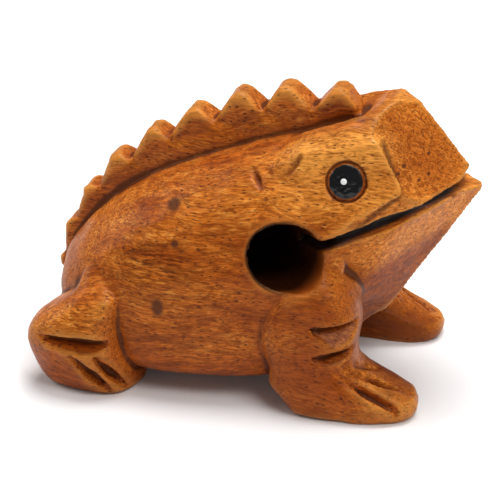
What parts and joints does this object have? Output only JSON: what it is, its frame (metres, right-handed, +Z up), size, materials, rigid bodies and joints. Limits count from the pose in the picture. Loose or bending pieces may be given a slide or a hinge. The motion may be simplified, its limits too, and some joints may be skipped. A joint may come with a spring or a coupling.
{
  "type": "frog guiro",
  "caption": "Carved wooden frog with a toothed back ridge that is stroked with a stick, a slot mouth and a round sound hole through each cheek.",
  "frame": {"origin": "middle of the frog's length and width, on the plane of its soles", "axes": "+X towards the frog's nose, +Y towards its left side, +Z up"},
  "size_m": [0.1028, 0.069, 0.0713],
  "materials": {
    "wood": "satin varnish",
    "eye_black": "gloss black paint",
    "eye_white": "white paint"
  },
  "bodies": {
    "root": {"frog_body": "wood"}
  },
  "joints": []
}
